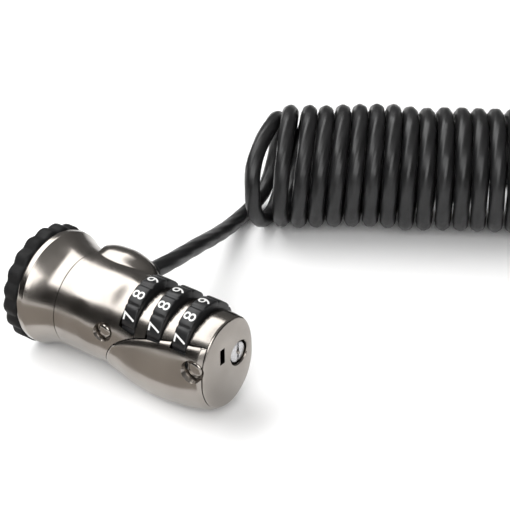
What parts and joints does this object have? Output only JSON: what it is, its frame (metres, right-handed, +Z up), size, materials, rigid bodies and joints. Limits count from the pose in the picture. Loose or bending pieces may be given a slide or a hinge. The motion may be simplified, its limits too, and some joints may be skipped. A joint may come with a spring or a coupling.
{
  "type": "laptop cable lock",
  "caption": "Combination lock head with a turning grip and rotating digit dials, on a self-coiling steel security cable with a crimped end loop.",
  "frame": {"origin": "on the floor below the middle of the lock head, measured without the cable", "axes": "+X along the barrel from the turning grip to the flat end wall, +Y towards the side the cable leaves, +Z up"},
  "size_m": [0.0978, 0.158, 0.0347],
  "materials": {
    "nickel_body": "satin-polished nickel plate",
    "nickel_collar": "satin-polished nickel plate",
    "nickel_rivet": "polished nickel plate",
    "grip_rubber": "matte moulded rubber",
    "pad_rubber": "matte rubber sheet",
    "gland_rubber": "semi-gloss soft plastic",
    "dial_plastic": "smooth black plastic with white digits",
    "hub_brass": "machined",
    "inner_steel": "machined steel",
    "cable_sheath": "semi-gloss black sheath over twisted strands",
    "ferrule_aluminium": "pressed, satin"
  },
  "bodies": {
    "head": {"upper_shell": "nickel_body", "lower_shell": "nickel_body", "nose_sleeve": "inner_steel", "face_pad": "pad_rubber", "dial_axle": "inner_steel", "bulkhead": "inner_steel", "fence_bar": "inner_steel", "fence_spring_1": "inner_steel", "fence_spring_2": "inner_steel", "spring_seat": "inner_steel", "index_spring": "inner_steel", "rivet_nose": "nickel_rivet", "rivet_end": "nickel_rivet", "cable_gland": "gland_rubber", "cable_stop": "inner_steel", "cable_lead": "cable_sheath", "cable_coil": "cable_sheath", "cable_tail": "cable_sheath", "loop_ferrule": "ferrule_aluminium", "end_loop": "cable_sheath"},
    "grip": {"grip_ring": "grip_rubber", "collar": "nickel_collar", "lock_spindle": "inner_steel", "drive_pin": "inner_steel", "retaining_ring": "inner_steel", "lock_cam": "inner_steel"},
    "dial_1_set": {"dial_1": "dial_plastic", "code_sleeve_1": "hub_brass"},
    "dial_2_set": {"dial_2": "dial_plastic", "code_sleeve_2": "hub_brass"},
    "dial_3_set": {"dial_3": "dial_plastic", "code_sleeve_3": "hub_brass"},
    "reset_screw": {"reset_screw": "inner_steel"}
  },
  "joints": [
    {"name": "grip_turn", "type": "hinge", "parent": "head", "child": "grip", "pos_m": [0, 0, 0.0152], "axis": [1, 0, 0], "range_deg": [0, 90]},
    {"name": "dial_1_turn", "type": "hinge", "parent": "head", "child": "dial_1_set", "pos_m": [0.0088, 0, 0.0192], "axis": [1, 0, 0], "continuous": true},
    {"name": "dial_2_turn", "type": "hinge", "parent": "head", "child": "dial_2_set", "pos_m": [0.0164, 0, 0.0192], "axis": [1, 0, 0], "continuous": true},
    {"name": "dial_3_turn", "type": "hinge", "parent": "head", "child": "dial_3_set", "pos_m": [0.024, 0, 0.0192], "axis": [1, 0, 0], "continuous": true},
    {"name": "reset_turn", "type": "hinge", "parent": "head", "child": "reset_screw", "pos_m": [0.0296, 0.0039, 0.0152], "axis": [1, 0, 0], "range_deg": [0, 90]}
  ]
}
